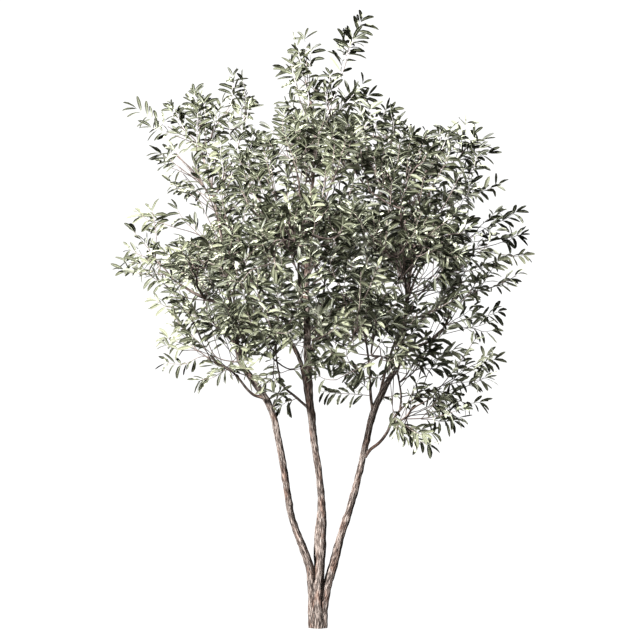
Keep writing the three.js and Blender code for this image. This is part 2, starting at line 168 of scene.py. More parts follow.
# The longest shoots, which make the crown's outline: the foliage mass, the x, y and z that the
# spray of leaves reaches in mm, its heading in hundredths and its length in mm.
LEADERS = [
    ("top_shoot", 170, 0, 2910, 25, 0, 95, 200), ("top_left", -30, 0, 2860, 10, 0, 100, 200),
    ("top_middle", -40, -30, 2570, -10, -20, 100, 180), ("front_top", 150, -350, 2160, 10, -60, 60, 200),
    ("far_left_tip", -930, 0, 2550, -90, 0, 45, 260),
    ("front_low_right", 150, -350, 1410, 20, -40, 60, 200),
    ("front_low_right", 30, -350, 1400, -40, -40, 60, 180),
    ("front_low_right", 120, -250, 1290, -60, -40, 50, 180),
    ("right_under", 700, -50, 1380, 80, -20, 50, 220), ("right_bottom", 660, -100, 1290, 90, -20, 20, 200),
    ("low_right", 540, -100, 1190, 70, -30, 50, 200), ("lowest", 470, -60, 975, 80, -20, -10, 160),
    ("lowest", 460, -60, 900, 70, -10, -60, 160), ("left_bottom", -550, -100, 1300, -90, -20, 30, 200),
    ("left_bottom", -700, -100, 1575, -80, -20, 40, 200), ("right_low", 840, 0, 1650, 95, 0, 20, 200),
    ("right_low", 840, -50, 1850, 90, -20, 40, 200), ("right", 920, -20, 1950, 90, -10, 30, 200),
    ("right_upper", 790, 0, 2170, 90, 0, 40, 200), ("front_top", 150, -400, 2090, 10, -60, 60, 200),
    ("front_top", -60, -200, 2520, -20, -40, 80, 200),
    ("front_middle", -220, -500, 1740, -20, -60, 60, 200),
    ("front_middle", -70, -500, 1710, 10, -50, 80, 200),
    ("front_middle", -70, -450, 1600, 20, -50, 70, 200),
    ("upper_left_tip", -310, 50, 2400, 30, 10, 90, 200), ("left_bottom", -640, 0, 1570, -70, 0, 60, 200),
    ("right_under", 740, 0, 1360, 90, 0, 20, 200), ("right_low", 860, 20, 1770, 90, 10, 30, 200),
    ("right_upper", 420, 30, 2490, 20, 10, 95, 200), ("right_shoulder", 830, 0, 2270, 85, 0, 40, 200),
    ("right_shoulder", 800, 0, 2150, 90, 0, 30, 180), ("right_shoulder", 880, 0, 2330, 90, 0, 35, 220),
    ("right_shoulder", 930, 0, 2180, 85, 0, 35, 250),
    ("front_low_left", -330, -150, 1270, -20, -30, 70, 160),
    ("front_low_left", -230, -150, 1280, 10, -30, 70, 160),
    ("left_bottom", -520, 0, 1270, -80, 10, 30, 180), ("upper_left", -720, 0, 2440, -70, 0, 60, 200),
    ("top_middle", -150, 20, 2620, -30, 10, 90, 200), ("top_middle", -30, -50, 2520, 10, -20, 100, 180),
    ("lowest", 500, -50, 875, 60, 0, -60, 160), ("low_right", 560, -50, 1180, 80, -20, 40, 180),
    ("right_upper", 720, -50, 2060, 80, -10, 40, 180), ("left_low", -830, -30, 1860, -90, -10, 40, 200),
    ("left_shoulder", -820, -30, 2330, -90, -10, 40, 160),
    ("left_shoulder", -700, -20, 2300, -70, 0, 60, 160),
    ("left_shoulder", -760, 30, 2200, -80, 10, 50, 180),
    ("upper_left_tip", -330, -50, 2430, -10, -10, 90, 200), ("top_right", 290, -30, 2620, 70, -10, 50, 180),
    ("far_left_tip", -860, -50, 2440, -100, -10, 15, 220), ("upper_left", -610, 0, 2660, -15, 0, 100, 250),
    ("upper_left_tip", -420, 0, 2740, -10, 0, 100, 260),
    ("upper_left_tip", -330, 30, 2610, 40, 10, 90, 200), ("top_left", -200, 0, 2740, -80, 0, 50, 200),
    ("top_left", -130, 0, 2910, -35, 0, 95, 260), ("top_left", -70, 20, 2800, -20, 0, 100, 200),
    ("top_left", -120, 0, 2680, -40, 0, 90, 200), ("top_middle", 60, 30, 2640, 20, 10, 100, 200),
    ("upper_left_tip", -290, 0, 2440, 20, 0, 100, 200), ("front_top", -220, -50, 2390, -50, -10, 80, 200),
    ("top_right", 260, 0, 2680, 75, 0, 60, 220), ("top_right", 360, 0, 2570, 50, 0, 85, 240),
    ("top_right", 410, -80, 2500, 50, -20, 75, 220), ("right_upper", 460, 0, 2480, 25, -10, 95, 220),
    ("right_upper", 620, 0, 2490, 30, 0, 95, 240), ("right_upper", 660, -40, 2440, 40, -10, 90, 220),
    ("right_upper", 750, 0, 2490, 60, 0, 80, 260), ("right_shoulder", 840, 0, 2410, 75, 0, 65, 220),
    ("right", 1010, 0, 2050, 85, 0, 50, 260), ("right", 1040, 30, 1930, 95, 0, 30, 240),
    ("right_low", 1055, 0, 1820, 95, 0, 15, 220), ("right_low", 750, -100, 1720, 70, -20, 60, 220),
    ("right_low", 660, -150, 1820, 60, -20, 75, 220), ("right_low", 730, -50, 1880, 60, -10, 80, 220),
    ("right_low", 680, 100, 1700, 60, 10, 75, 220), ("right_under", 660, -100, 1500, 60, -20, 70, 200),
    ("left_bottom", -360, -150, 1380, -30, -30, 70, 200),
    ("left_bottom", -440, -100, 1270, -50, -30, 50, 180),
    ("front_low_left", -280, -300, 1380, -20, -50, 60, 180),
    ("right_upper", 440, -20, 2440, 40, 0, 90, 200), ("right_under", 930, 20, 1550, 95, 0, 25, 240),
    ("right_bottom", 910, 0, 1320, 95, 0, 30, 240), ("right_bottom", 870, -20, 1220, 90, 0, 10, 220),
    ("right_under", 900, 0, 1440, 90, 0, -10, 220), ("low_right", 840, -20, 1100, 95, 0, 5, 240),
    ("low_right", 740, -50, 1020, 95, 0, -10, 200), ("low_right", 700, -100, 1090, 90, -20, 20, 180),
    ("lowest", 600, -50, 935, 90, 0, -25, 180), ("low_right", 500, -100, 1160, 50, -30, 60, 200),
    ("lowest", 430, -100, 980, 60, -30, 20, 160), ("right_under", 560, 0, 1450, 60, 0, 60, 180),
    ("right_upper", 740, -30, 2180, 70, -10, 50, 200), ("lowest", 580, -50, 870, 88, 0, -45, 220),
    ("left_low", -960, 0, 1860, -90, 0, 40, 240), ("left_low", -980, -30, 1790, -95, 0, 15, 220),
    ("left", -910, 0, 2030, -90, 0, 40, 240), ("left_shoulder", -800, 0, 2290, -85, 0, 50, 180),
    ("left_shoulder", -730, -30, 2360, -60, 0, 70, 180),
    ("left_shoulder", -720, -50, 2270, -70, -20, 50, 180),
    ("left_shoulder", -710, 30, 2180, -70, 10, 40, 180), ("left", -710, -50, 2080, -50, -10, 80, 200),
    ("left_low", -800, -100, 1860, -80, -20, 50, 180), ("left_low", -620, -100, 1580, -40, -20, 80, 200),
    ("upper_left", -510, 0, 2460, -10, -10, 100, 200), ("upper_left", -550, -50, 2380, -20, -20, 95, 200),
    ("left_bottom", -780, 0, 1430, -90, 0, 35, 240), ("left_bottom", -790, -30, 1290, -90, 0, 0, 240),
    ("left_bottom", -620, -50, 1200, -97, 0, -12, 220), ("front_left", -680, -200, 1630, -70, -40, 60, 200),
    ("front_top", -170, -150, 2580, -40, -10, 90, 240), ("front_top", -260, -100, 2460, -60, 0, 80, 220),
    ("upper_left_tip", -360, 0, 2500, 10, 0, 100, 200), ("top_right", 140, 0, 2620, 30, 0, 95, 220),
    ("top_right", 220, -50, 2660, 50, 0, 85, 240), ("right", 750, -100, 2000, 60, -20, 75, 220),
    ("front_low_left", -380, -250, 1680, -30, -60, 70, 200),
    ("front_low_right", 500, -200, 1620, 40, -50, 70, 220),
    ("right_under", 510, -150, 1490, 60, -30, 60, 200), ("right_bottom", 530, -150, 1350, 60, -40, 50, 220),
]


# ---------------------------------------------------------------- colour and mesh helpers

def shade(red, green, blue):
    """A colour given as 0 to 255, as the linear numbers that a shader takes."""
    channels = np.array([red, green, blue]) / 255.0
    linear = np.where(channels <= 0.04045, channels / 12.92, ((channels + 0.055) / 1.055) ** 2.4)
    return (*linear.tolist(), 1.0)


def unit(vectors):
    """Vectors scaled to length one."""
    vectors = np.asarray(vectors, float)
    return vectors / np.maximum(np.linalg.norm(vectors, axis=-1, keepdims=True), 1e-12)


def mesh_piece(name, points, faces, materials, face_materials=None):
    """A new mesh object at the origin from points and a list of face arrays."""
    mesh = bpy.data.meshes.new(name)
    faces = [face for block in faces for face in block.tolist()]
    mesh.from_pydata(points.tolist(), [], faces, shade_flat=False)
    for material in materials:
        mesh.materials.append(material)
    if face_materials is not None:
        mesh.polygons.foreach_set("material_index", face_materials.astype(np.int32))
    piece = bpy.data.objects.new(name, mesh)
    scene.collection.objects.link(piece)
    return piece


def hand_over(piece, slot, *nodes):
    """The piece rides on the tree and stands for these nodes, which it hides; the slot is not used."""
    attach(piece, "root")
    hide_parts(*nodes)


# ---------------------------------------------------------------- paths

def smooth_path(stations, step):
    """Points a step apart on a smooth curve through the stations, and the value carried along."""
    stations = np.asarray(stations, float)
    places, carried = stations[:, :3], stations[:, 3]
    spans = np.linalg.norm(np.diff(places, axis=0), axis=1)
    slopes = np.diff(places, axis=0) / spans[:, None]
    tangents = np.empty_like(places)
    tangents[0], tangents[-1] = slopes[0], slopes[-1]
    if len(places) > 2:
        before, after = spans[:-1, None], spans[1:, None]
        tangents[1:-1] = (slopes[:-1] * after + slopes[1:] * before) / (before + after)
    points, values = [], []
    for i, span in enumerate(spans):
        count = max(1, int(round(span / step)))
        t = (np.arange(count) / count)[:, None]
        rise, run = t * t * (3 - 2 * t), t * (1 - t)
        inner = run * (1 - t) * tangents[i] - run * t * tangents[i + 1]
        points.append(places[i] * (1 - rise) + places[i + 1] * rise + inner * span)
        values.append(carried[i] + (carried[i + 1] - carried[i]) * t[:, 0])
    points.append(places[-1:])
    values.append(carried[-1:])
    return np.concatenate(points), np.concatenate(values)


def path_frames(points):
    """Tangents, and two directions across the path that turn as little as they can."""
    tangents = unit(np.gradient(points, axis=0))
    across = np.empty_like(points)
    first = np.cross(tangents[0], [0.0, 1.0, 0.0])
    if np.linalg.norm(first) < 0.2:
        first = np.cross(tangents[0], [1.0, 0.0, 0.0])
    across[0] = unit(first)
    for i in range(1, len(points)):
        turned = across[i - 1] - tangents[i] * np.dot(across[i - 1], tangents[i])
        across[i] = unit(turned)
    return tangents, across, np.cross(tangents, across)


def distance_along(points):
    """How far along the path each point lies."""
    steps = np.linalg.norm(np.diff(points, axis=0), axis=1)
    return np.concatenate([[0.0], np.cumsum(steps)])


LIMB_STEP = 0.006
limb_paths = {}
for limb, (_, stations) in LIMBS.items():
    path_points, thickness = smooth_path(np.array(stations, float) * MM, LIMB_STEP)
    limb_paths[limb] = (path_points, thickness / 2)


# ---------------------------------------------------------------- camera, light and floor

CAMERA_PLACE = (0.0107, -9.0, 1.4975)
LENS, SENSOR = 103.95, 36.0
CROWN_MIDDLE = (0, 0, 1.6)
SOFTBOXES = [
    # name, place, size, power
    ("key_light", (-4.9, -5.6, 6.2), 0.7, 4000),
    ("low_light", (-4.4, -6.6, 2.6), 1.0, 330),
    ("rear_light", (4.0, 7.7, 4.5), 2.0, 350),
]
WHITE, WHITE_SEEN = (1.0, 1.0, 1.0, 1.0), 1.1
SKY_TINT, SKY_LIGHT = (0.96, 0.98, 1.0, 1.0), 0.035
FLOOR_RADIUS, FLOOR_DROP, FLOOR_GREY = 40.0, 0.002, (0.05, 0.05, 0.05, 1.0)


def wire(tree, node, inputs):
    """Gives each named input of a node a value, or links it to a socket or a node's output."""
    for key, given in inputs.items():
        if isinstance(given, bpy.types.Node):
            given = next(socket for socket in given.outputs if socket.enabled)
        if isinstance(given, bpy.types.NodeSocket):
            tree.links.new(given, node.inputs[key])
        else:
            node.inputs[key].default_value = given


def add_node(tree, kind, inputs=None, **settings):
    """A new shader node of a kind, with its settings and inputs."""
    node = tree.nodes.new(f"ShaderNode{kind}")
    for key, given in settings.items():
        setattr(node, key, given)
    wire(tree, node, inputs or {})
    return node


def show_camera(tree, output, real, seen):
    """Lets the camera see one shader where all other rays meet the real one."""
    path = add_node(tree, "LightPath")
    blend = add_node(tree, "MixShader", {"Fac": path.outputs["Is Camera Ray"], 1: real, 2: seen})
    wire(tree, output, {"Surface": blend})


def surface_material(name, inputs):
    """A new material, whose surface has these inputs."""
    material = bpy.data.materials.new(name)
    material.use_nodes = True
    tree = material.node_tree
    wire(tree, tree.nodes["Principled BSDF"], inputs)
    return material


def add_camera():
    """A level camera nine metres in front, at half the tree's height."""
    data = bpy.data.cameras.new("camera")
    data.sensor_width = SENSOR
    data.lens = LENS
    camera = bpy.data.objects.new("camera", data)
    camera.location = CAMERA_PLACE
    camera.rotation_euler = (np.pi / 2, 0.0, 0.0)
    scene.collection.objects.link(camera)
    scene.camera = camera


def add_softbox(name, place, size, power):
    """A square area light at a place, turned to face the crown."""
    data = bpy.data.lights.new(name, "AREA")
    data.shape = "SQUARE"
    data.size = size
    data.energy = power
    lamp = bpy.data.objects.new(name, data)
    lamp.location = place
    heading = Vector(CROWN_MIDDLE) - Vector(place)
    lamp.rotation_euler = heading.to_track_quat("-Z", "Y").to_euler()
    scene.collection.objects.link(lamp)


def add_floor():
    """A floor as white as the surround to the camera, though it gives back little light."""
    bpy.ops.mesh.primitive_circle_add(
        vertices=96, radius=FLOOR_RADIUS, fill_type="NGON", location=(0, 0, -FLOOR_DROP))
    floor = bpy.context.object
    floor.name = "studio_floor"
    pale = surface_material(
        "pale_floor", {"Base Color": FLOOR_GREY, "Roughness": 0.9, "Specular IOR Level": 0.1})
    tree = pale.node_tree
    glow = add_node(tree, "Emission", {"Color": WHITE, "Strength": WHITE_SEEN})
    show_camera(tree, tree.nodes["Material Output"], tree.nodes["Principled BSDF"], glow)
    floor.data.materials.append(pale)


def add_surround():
    """A white surround, which the camera sees brighter than the light that it gives."""
    world = bpy.data.worlds.new("white_surround")
    world.use_nodes = True
    scene.world = world
    tree = world.node_tree
    tree.nodes.clear()
    output = add_node(tree, "OutputWorld")
    seen = add_node(tree, "Background", {"Color": WHITE, "Strength": WHITE_SEEN})
    lighting = add_node(tree, "Background", {"Color": SKY_TINT, "Strength": SKY_LIGHT})
    show_camera(tree, output, lighting, seen)
    scene.view_settings.view_transform = "Standard"
    scene.view_settings.look = "None"


for placed in list(bpy.context.selected_objects):
    placed.select_set(False)
add_camera()
add_floor()
add_surround()
for softbox in SOFTBOXES:
    add_softbox(*softbox)


# ---------------------------------------------------------------- materials

def add_bark_grain():
    """Streaks, patches and relief of fibrous bark, in coordinates that follow the limb."""
    group = bpy.data.node_groups.new("bark_grain", "ShaderNodeTree")
    face = group.interface
    face.new_socket("Limb Coordinates", in_out="INPUT", socket_type="NodeSocketVector")
    for label, usual in (("Fibre Scale", 300.0), ("Patch Scale", 30.0)):
        scale = face.new_socket(label, in_out="INPUT", socket_type="NodeSocketFloat")
        scale.default_value = usual
    for label in ("Streaks", "Patches", "Fissures", "Height"):
        face.new_socket(label, in_out="OUTPUT", socket_type="NodeSocketFloat")
    source = group.nodes.new("NodeGroupInput")
    place, fibres, patch_scale = (source.outputs[i] for i in range(3))
    streaks = add_node(
        group, "TexNoise", {"Vector": place, "Scale": fibres, "Detail": 5.0, "Roughness": 0.62})
    stretch = add_node(group, "Mapping", {"Vector": place, "Scale": (1.0, 1.0, 4.0)})
    patches = add_node(group, "TexNoise", {
        "Vector": stretch, "Scale": patch_scale, "Detail": 3.0, "Roughness": 0.55})
    broader = add_node(group, "Math", {0: fibres, 1: 0.45}, operation="MULTIPLY")
    broad = add_node(group, "TexNoise", {"Vector": place, "Scale": broader, "Detail": 2.0})
    centred = add_node(group, "Math", {0: broad, 1: 0.5}, operation="SUBTRACT")
    folded = add_node(group, "Math", {0: centred}, operation="ABSOLUTE")
    cracks = add_node(group, "MapRange", {
        "Value": folded, "From Min": 0.0, "From Max": 0.05, "To Min": 1.0, "To Max": 0.0})
    relief = add_node(group, "Math", {0: streaks, 1: cracks}, operation="SUBTRACT")
    sink = group.nodes.new("NodeGroupOutput")
    wire(group, sink, {
        "Streaks": streaks, "Patches": patches, "Fissures": cracks, "Height": relief})
    return group


bark_grain = add_bark_grain()


def bark_material(name, dark, middle, pale, rust, fibre_scale, depth):
    """Fibrous bark: streaked between three tones, rusty in patches, with painted shade darkening its
    fissures.
    """
    material = surface_material(name, {"Specular IOR Level": 0.2})
    tree = material.node_tree
    along = add_node(tree, "Attribute", attribute_name="limb_coordinates")
    pattern = add_node(tree, "Group", node_tree=bark_grain)
    wire(tree, pattern, {
        "Limb Coordinates": along.outputs["Vector"], "Fibre Scale": fibre_scale, "Patch Scale": 34.0})
    streaks, patches, fissures, height = (pattern.outputs[i] for i in range(4))
    tones = add_node(tree, "ValToRGB", {"Fac": streaks})
    ramp = tones.color_ramp.elements
    ramp[0].position, ramp[0].color = 0.41, dark
    ramp[1].position, ramp[1].color = 0.6, pale
    ramp.new(0.5).color = middle
    rusty = add_node(tree, "MapRange", {
        "Value": patches, "From Min": 0.5, "From Max": 0.64, "To Max": 0.7})
    stain = add_node(
        tree, "Mix", {"Factor": rusty, "A": tones, "B": rust}, data_type="RGBA", blend_type="MULTIPLY")
    # Painted shade: the fissures are darkened towards a near-black tone, standing in for the shade in their
    # grooves.
    fissure_shade_mask = add_node(tree, "Math", {0: fissures, 1: 0.9}, operation="MULTIPLY")
    deep = tuple(0.35 * tone for tone in dark[:3]) + (1.0,)
    fissure_shaded = add_node(tree, "Mix", {"Factor": fissure_shade_mask, "A": stain, "B": deep}, data_type="RGBA")
    dullness = add_node(tree, "MapRange", {"Value": streaks, "To Min": 0.95, "To Max": 0.68})
    bump = add_node(tree, "Bump", {"Height": height, "Strength": 0.8, "Distance": depth})
    surface = tree.nodes["Principled BSDF"]
    wire(tree, surface, {"Base Color": fissure_shaded, "Roughness": dullness, "Normal": bump})
    return material


def plain_material(name, tone, roughness, specular):
    """One even finish, for the twigs and leaves whose tones are dealt out shoot by shoot."""
    return surface_material(name, {
        "Base Color": shade(*tone), "Roughness": roughness, "Specular IOR Level": specular})


stem_bark = bark_material(
    "stem_bark", shade(46, 38, 34), shade(100, 88, 81), shade(166, 154, 146),
    shade(206, 170, 152), 320.0, 0.003)
bough_bark = bark_material(
    "bough_bark", shade(44, 36, 33), shade(84, 72, 66), shade(140, 126, 117),
    shade(200, 160, 140), 420.0, 0.0015)
twig_bark = plain_material("twig_bark", (72, 61, 57), 0.8, 0.25)
shoot_bark = plain_material("shoot_bark", (120, 108, 102), 0.75, 0.25)
tip_bark = plain_material("tip_bark", (176, 170, 172), 0.7, 0.3)
UPPER_TONES = [
    plain_material("leaf_upper_deep", (33, 35, 24), 0.45, 0.25),
    plain_material("leaf_upper_olive", (46, 48, 34), 0.45, 0.25),
    plain_material("leaf_upper_grey", (64, 66, 50), 0.48, 0.25),
    plain_material("leaf_upper_light", (100, 102, 82), 0.5, 0.3),
]
UNDER_TONES = [
    plain_material("leaf_under_silver", (172, 175, 154), 0.65, 0.2),
    plain_material("leaf_under_sage", (148, 152, 132), 0.65, 0.2),
    plain_material("leaf_under_pale", (188, 190, 170), 0.65, 0.2),
]
leaf_rib = plain_material("leaf_rib", (152, 156, 132), 0.6, 0.3)


# ---------------------------------------------------------------- bark of the stems and boughs

# How many ridges, fibres and strips lie round a limb, and how long they run.
RIDGES, FIBRES, STRIPS = (11, 0.045), (23, 0.02), (7, 0.11)
FINE_RELIEF = 0.0011
LONG_LUMP, SHORT_LUMP = 0.13, 0.052
KNOT_GAP, KNOT_LENGTH, LOWEST_KNOT = 0.24, 0.014, 0.4
GRAIN_STRETCH = 0.085
COLLAR_LENGTH = 0.022
# One subdivision makes no more cuts than this, so long limbs are cut in two rounds.
MOST_CUTS = 100
STEM_SEEDS = {"stem_middle": 3, "stem_left": 10, "stem_right": 17, "stem_back": 24}
STEM_SIDES, STEM_FLUTES, STEM_SINK = 56, 0.07, 0.12
BOUGH_SIDES, BOUGH_FLUTES, BOUGH_COLLAR, FIRST_BOUGH_SEED = 20, 0.02, 0.45, 100
FOOT_SIDES, FOOT_RINGS = 300, 120
FOOT_OVAL = (0.0455, 0.037)
FUSED_HEIGHT = 0.17
HIDDEN_STEM = 0.045


def streak_noise(own, turn, along, whole, columns, length):
    """Smooth noise from -1 to 1 on a limb's skin: so many columns round it, long cells along."""
    rows = int(whole / length) + 3
    grid = own.uniform(-1, 1, (rows, columns))
    shift = own.uniform(0, 1, rows)
    row = np.clip(along / length, 0, rows - 2.001)
    low = row.astype(int)
    blend = row - low
    blend = blend * blend * (3 - 2 * blend)
    value = 0.0
    for step, weight in ((0, 1 - blend), (1, blend)):
        place = (turn / (2 * np.pi) * columns + shift[low + step] * columns) % columns
        left = place.astype(int) % columns
        part = place - np.floor(place)
        part = part * part * (3 - 2 * part)
        cells = grid[low + step, left] * (1 - part) + grid[low + step, (left + 1) % columns] * part
        value = value + cells * weight
    return value


def bark_relief(turn, along, whole, radius, seed, flutes):
    """How far fluted, lumpy, fissured bark stands out from an even taper, on a limb so long."""
    own = np.random.default_rng(seed)
    phase = own.uniform(0, 2 * np.pi, 8)
    low_down = np.exp(-along / 0.5)
    fluting = (0.045 + flutes * low_down) * np.sin(
        3 * turn + 2.6 * along + 0.8 * np.sin(5.1 * along + phase[0]) + phase[1])
    fluting += 0.03 * np.sin(5 * turn - 3.7 * along + phase[2])
    lumps = 0.04 * np.sin(2 * np.pi * along / LONG_LUMP + np.sin(turn + phase[3]) + phase[4])
    lumps += 0.03 * np.sin(
        2 * np.pi * along / SHORT_LUMP + 2 * np.sin(turn + phase[5]) + phase[6])
    twist = turn + 0.35 * np.sin(6.0 * along + phase[7])
    ridges, fibres, strips = (
        streak_noise(own, twist, along, whole, *cells) for cells in (RIDGES, FIBRES, STRIPS))
    ridges = 1 - 2 * np.abs(ridges)
    knots = np.zeros_like(turn)
    for _ in range(int(whole / KNOT_GAP) + 1):
        centre = own.uniform(LOWEST_KNOT, max(whole, 0.5))
        side = own.uniform(0, 2 * np.pi)
        apart = (1 - np.cos(turn - side)) * 2.2 + ((along - centre) / KNOT_LENGTH) ** 2
        knots += own.uniform(0.1, 0.26) * np.exp(-apart)
    fine = min(FINE_RELIEF, 0.07 * radius.max())
    return radius * (fluting + lumps + knots) + fine * (0.9 * ridges + 0.6 * fibres + 0.7 * strips)


def limb_coordinates(turn, along, radius, seed):
    """Where a spot lies round and along a limb, drawn out lengthwise so that bark streaks."""
    lengthwise = along * GRAIN_STRETCH + seed
    return np.column_stack([np.cos(turn) * radius, np.sin(turn) * radius, lengthwise])


def ringed_cylinder(name, sides, rings):
    """A unit cylinder cut into rings, with each vertex's ring, turn and distance from the axis."""
    bpy.ops.mesh.primitive_cylinder_add(
        vertices=sides, radius=1.0, depth=1.0, end_fill_type="TRIFAN", location=(0, 0, 0))
    piece = bpy.context.object
    piece.name = name
    piece.data.name = name
    mesh = piece.data
    stretches = rings // MOST_CUTS + 1
    for parts in (stretches, rings // stretches):
        if parts == 1:
            continue
        bpy.ops.object.mode_set(mode="EDIT")
        bpy.ops.mesh.select_mode(type="EDGE")
        bpy.ops.mesh.select_all(action="DESELECT")
        bpy.ops.object.mode_set(mode="OBJECT")
        for edge in mesh.edges:
            low, high = (mesh.vertices[i].co.z for i in edge.vertices)
            edge.select = abs(low - high) > 0.5 / stretches
        bpy.ops.object.mode_set(mode="EDIT")
        bpy.ops.mesh.subdivide(number_cuts=parts - 1)
        bpy.ops.object.mode_set(mode="OBJECT")
    places = np.empty(len(mesh.vertices) * 3)
    mesh.vertices.foreach_get("co", places)
    places = places.reshape(-1, 3)
    ring = np.rint((places[:, 2] + 0.5) * rings).astype(int)
    turn = np.arctan2(places[:, 1], places[:, 0])
    rim = np.minimum(np.hypot(places[:, 0], places[:, 1]), 1.0)
    return piece, ring, turn, rim


def finish_bark(piece, points, coordinates, material):
    """Gives a wrapped cylinder its shape, its bark and smooth shading up to its cut ends."""
    piece.data.vertices.foreach_set("co", points.ravel())
    layer = piece.data.attributes.new("limb_coordinates", "FLOAT_VECTOR", "POINT")
    layer.data.foreach_set("vector", coordinates.astype(np.float32).ravel())
    piece.data.materials.append(material)
    bpy.ops.object.shade_smooth_by_angle(angle=np.radians(70))
    piece.data.update()


def limb_skin(limb, sides, seed, flutes, material, begin=0, collar=0.0, sink=0.0):
    """A ringed cylinder wrapped along a limb's path, from one of its points to its tip."""
    points, radii = limb_paths[limb]
    _, across, beside = path_frames(points)
    along = distance_along(points)
    piece, ring, turn, rim = ringed_cylinder(f"{limb}_bark", sides, len(points) - 1 - begin)
    ring += begin
    swell = 1 + collar * np.exp(-along[ring] / COLLAR_LENGTH)
    relief = bark_relief(turn, along[ring], along[-1], radii[ring], seed, flutes)
    reach = radii[ring] * swell + relief
    reach -= np.clip(FOOT_TOP - points[ring, 2], 0, 0.04) * sink
    outward = across[ring] * np.cos(turn)[:, None] + beside[ring] * np.sin(turn)[:, None]
    wrapped = points[ring] + outward * (reach * rim)[:, None]
    follow = limb_coordinates(turn, along[ring], radii[ring], seed)
    finish_bark(piece, wrapped, follow, material)
    return piece


def add_foot():
    """Bark for the foot: the stems' lowest parts, flowing into one trunk towards the ground."""
    piece, ring, turn, rim = ringed_cylinder("trunk_foot_bark", FOOT_SIDES, FOOT_RINGS)
    height = ring / FOOT_RINGS * FOOT_TOP
    centres, radii, frames, alongs = [], [], [], []
    for stem in STEM_SEEDS:
        points, stem_radii = limb_paths[stem]
        _, across, beside = path_frames(points)
        x, y, radius, along = (
            np.interp(height, points[:, 2], values)
            for values in (points[:, 0], points[:, 1], stem_radii, distance_along(points)))
        nearest = np.clip(np.searchsorted(points[:, 2], height), 0, len(points) - 1)
        centres.append(np.column_stack([x, y]))
        radii.append(radius)
        frames.append((across[nearest], beside[nearest]))
        alongs.append((along, distance_along(points)[-1]))
    middle = np.mean(centres, axis=0)
    heading = np.column_stack([np.cos(turn), np.sin(turn)])
    blend = 0.003 + 0.011 * (1 - height / FOOT_TOP) ** 1.5
    flare = 0.0015 * np.exp(-height / 0.02) - 0.1 * (blend - 0.003)

    def gap(reach):
        """How far the spots at this reach lie outside the four stems' blended outline."""
        spots = middle + heading * reach[:, None]
        apart = np.array([
            np.linalg.norm(spots - centre, axis=1) - radius - flare
            for centre, radius in zip(centres, radii)])
        return -blend * np.log(np.exp(-apart / blend).sum(0)), apart

    reach = np.full(len(height), 0.11)
    for _ in range(60):
        reach = np.maximum(reach - 0.8 * np.maximum(gap(reach)[0], 0.0), 0.0)
    _, apart = gap(reach)
    share = np.exp(-apart / 0.003)
    share /= share.sum(0)
    oval = 1 / np.hypot(np.cos(turn) / FOOT_OVAL[0], np.sin(turn) / FOOT_OVAL[1])
    fused = 0.8 * np.clip(1 - height / FUSED_HEIGHT, 0, 1) ** 0.8
    reach = reach * (1 - fused) + oval * fused
    relief, coordinates = np.zeros(len(height)), np.zeros((len(height), 3))
    owner = np.argmin(apart, axis=0)
    spots = np.column_stack([middle + heading * reach[:, None], height])
    for i, (stem, seed) in enumerate(STEM_SEEDS.items()):
        offset = np.column_stack([spots[:, :2] - centres[i], np.zeros(len(height))])
        across, beside = frames[i]
        own_turn = np.arctan2((offset * beside).sum(1), (offset * across).sum(1))
        relief += share[i] * bark_relief(own_turn, *alongs[i], radii[i], seed, STEM_FLUTES)
        follow = limb_coordinates(own_turn, alongs[i][0], radii[i], seed)
        coordinates[owner == i] = follow[owner == i]
    tuck = 0.0016 * np.clip((height - FOOT_TOP + 0.016) / 0.016, 0, 1)
    spots[:, :2] = middle + heading * ((reach + relief - tuck) * rim)[:, None]
    finish_bark(piece, spots, coordinates, stem_bark)
    hand_over(piece, "bark", "trunk_foot")


def add_stems():
    """Bark for the four stems, each rising out of the foot."""
    for stem, seed in STEM_SEEDS.items():
        points, _ = limb_paths[stem]
        begin = int(np.searchsorted(points[:, 2], FOOT_TOP - HIDDEN_STEM))
        piece = limb_skin(stem, STEM_SIDES, seed, STEM_FLUTES, stem_bark, begin, sink=STEM_SINK)
        hand_over(piece, "bark", stem)


def add_boughs():
    """Bark for every bough, swelling into a collar where it leaves its stem."""
    for i, (limb, (parent, _)) in enumerate(LIMBS.items()):
        if parent is None:
            continue
        own_bark = tip_bark if limb == "bough_top" else bough_bark
        seed = FIRST_BOUGH_SEED + i
        piece = limb_skin(limb, BOUGH_SIDES, seed, BOUGH_FLUTES, own_bark, collar=BOUGH_COLLAR)
        hand_over(piece, "bough_bark", limb)


add_foot()
add_stems()
add_boughs()


# ---------------------------------------------------------------- where the crown may grow

def crown_trees():
    """A search tree for each foliage mass with its points, and one for all of them together."""
    own, all_points, all_faces = {}, [], []
    for node in sorted(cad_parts):
        if not node.startswith("foliage_"):
            continue
        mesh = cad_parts[node].data
        points = [tuple(corner.co) for corner in mesh.vertices]
        faces = [tuple(face.vertices) for face in mesh.polygons]
        tree = BVHTree.FromPolygons(points, faces)
        own[node.removeprefix("foliage_")] = (tree, np.array(points))
        all_faces.extend(tuple(corner + len(all_points) for corner in face) for face in faces)
        all_points.extend(points)
    return own, BVHTree.FromPolygons(all_points, all_faces)


SIGHT_LINE = Vector((0.31, 0.22, 0.92)).normalized()
PAST_CROSSING = 1e-5


def depth_inside(tree, place):
    """How deep a place lies inside the closed solid of a search tree; below zero is outside."""
    place = Vector(place)
    gap = tree.find_nearest(place)[3]
    crossings = 0
    while True:
        place = tree.ray_cast(place, SIGHT_LINE)[0]
        if place is None:
            break
        crossings += 1
        place = place + PAST_CROSSING * SIGHT_LINE
    return gap if crossings % 2 else -gap


mass_trees, crown_tree = crown_trees()
mass_boxes = {name: (points.min(0), points.max(0)) for name, (_, points) in mass_trees.items()}
BLEND_REACH, BLEND_DEPTH, DEEP_ENOUGH = 0.16, 0.05, 0.1
CELL = 0.1


